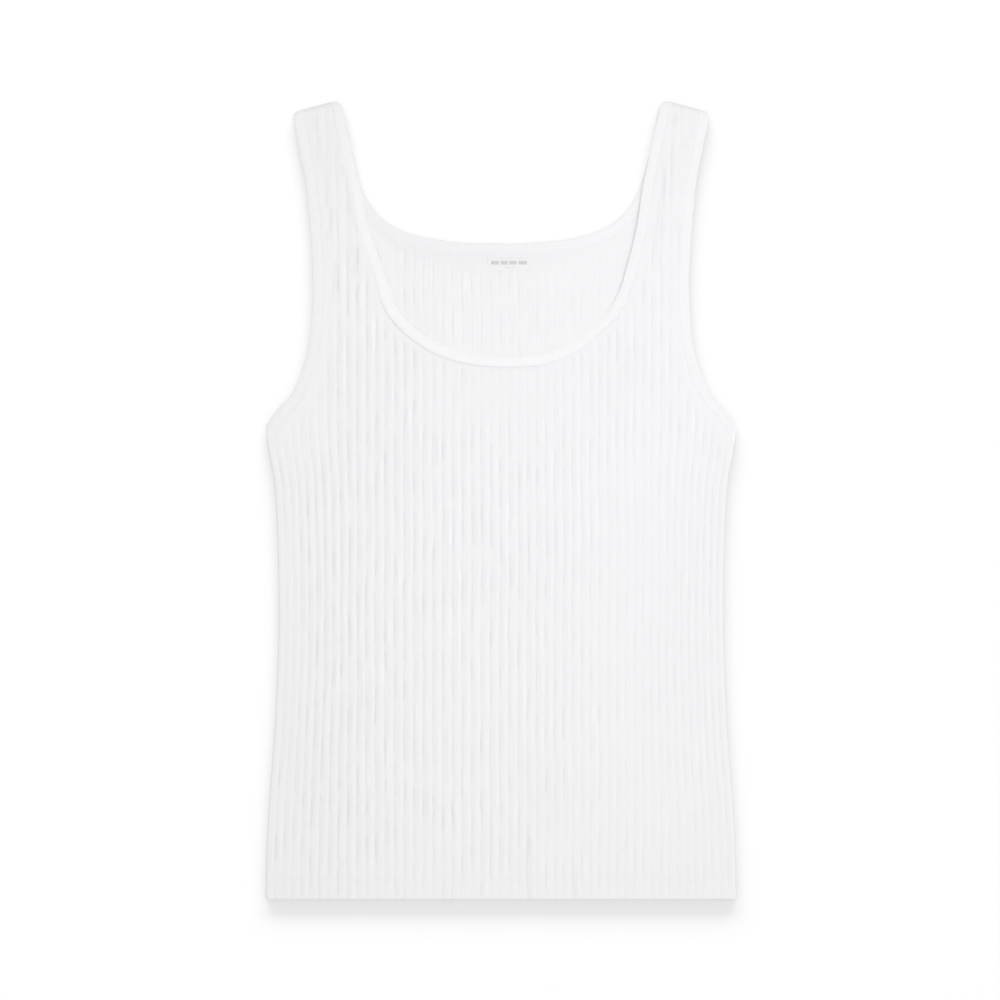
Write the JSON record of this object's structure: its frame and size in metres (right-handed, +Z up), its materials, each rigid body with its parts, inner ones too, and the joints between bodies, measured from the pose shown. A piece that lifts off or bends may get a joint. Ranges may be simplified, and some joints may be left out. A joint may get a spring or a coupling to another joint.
{
  "type": "tank top",
  "caption": "Sleeveless scoop-neck tank top in rib knit, laid flat on its back, with bound neck and armholes, a turned hem and a plain neck label.",
  "frame": {"origin": "on the surface that the garment lies on, under the middle of its width and length", "axes": "+X across the garment to the right as seen from above, +Y from the hem towards the straps, +Z up out of the front panel"},
  "size_m": [0.367, 0.6224, 0.0046],
  "materials": {
    "rib_knit": "matte white cotton rib knit",
    "binding_knit": "matte white fine rib binding",
    "label_weave": "smooth white woven label with grey dashes"
  },
  "bodies": {
    "root": {"front_panel": "rib_knit", "back_panel": "rib_knit", "neck_binding": "binding_knit", "armhole_binding_left": "binding_knit", "armhole_binding_right": "binding_knit", "neck_label": "label_weave"}
  },
  "joints": []
}
